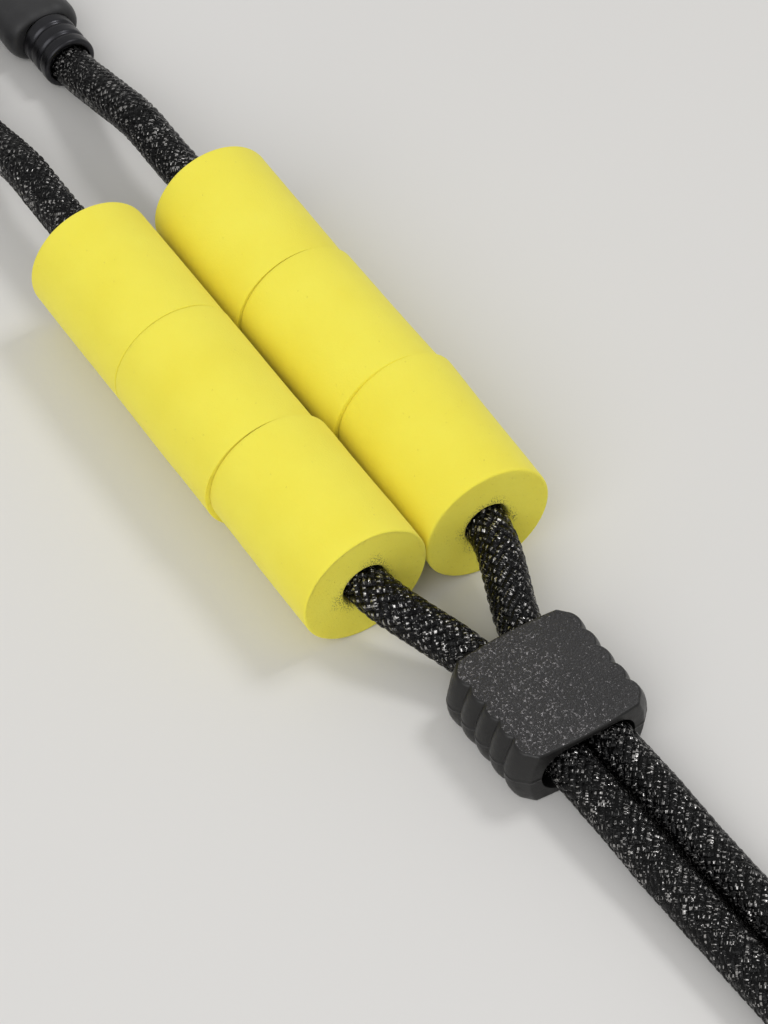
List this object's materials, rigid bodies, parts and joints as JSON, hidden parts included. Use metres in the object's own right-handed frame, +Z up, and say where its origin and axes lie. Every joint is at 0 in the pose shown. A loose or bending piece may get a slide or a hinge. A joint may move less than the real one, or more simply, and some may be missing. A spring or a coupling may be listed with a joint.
{
  "type": "floating eyewear retainer",
  "caption": "Floating eyewear strap: one braided cord through two rows of foam floats and a slide adjuster, with a closed tail loop and soft temple sleeves at its ends.",
  "frame": {"origin": "on the surface the strap lies on, midway along and across everything but the cord", "axes": "+X from the temple sleeves to the slide adjuster and the tail loop, +Y from the left row of floats to the right one, +Z up"},
  "size_m": [0.3158, 0.0422, 0.0176],
  "materials": {
    "foam": "matt closed-cell foam, bright yellow, with fine open cells on the cut ends",
    "braid": "black braided polyester, shiny filaments",
    "moulded_black": "fine spark texture on the top and base, smoother ribbed sides",
    "silicone": "soft matt silicone",
    "anodised": "black anodised, satin"
  },
  "bodies": {
    "cord_and_ends": {"cord": "braid", "left_crimp_collar": "anodised", "right_crimp_collar": "anodised", "left_temple_sleeve": "silicone", "right_temple_sleeve": "silicone"},
    "slider": {"slide_adjuster": "moulded_black"},
    "left_front_float": {"left_front_float": "foam"},
    "left_middle_float": {"left_middle_float": "foam"},
    "left_rear_float": {"left_rear_float": "foam"},
    "right_front_float": {"right_front_float": "foam"},
    "right_middle_float": {"right_middle_float": "foam"},
    "right_rear_float": {"right_rear_float": "foam"}
  },
  "joints": [
    {"name": "slider_slide", "type": "slide", "parent": "cord_and_ends", "child": "slider", "axis": [0.999, 0.0436, 0], "range_m": [0, 0.095]},
    {"name": "left_front_float_slide", "type": "slide", "parent": "cord_and_ends", "child": "left_front_float", "axis": [-1, 0, 0], "range_m": [0, 0.006]},
    {"name": "left_middle_float_slide", "type": "slide", "parent": "left_front_float", "child": "left_middle_float", "axis": [-1, 0, 0], "range_m": [0, 0.006]},
    {"name": "left_rear_float_slide", "type": "slide", "parent": "left_middle_float", "child": "left_rear_float", "axis": [-1, 0, 0], "range_m": [0, 0.006]},
    {"name": "right_front_float_slide", "type": "slide", "parent": "cord_and_ends", "child": "right_front_float", "axis": [-1, 0, 0], "range_m": [0, 0.006]},
    {"name": "right_middle_float_slide", "type": "slide", "parent": "right_front_float", "child": "right_middle_float", "axis": [-1, 0, 0], "range_m": [0, 0.006]},
    {"name": "right_rear_float_slide", "type": "slide", "parent": "right_middle_float", "child": "right_rear_float", "axis": [-1, 0, 0], "range_m": [0, 0.006]}
  ]
}
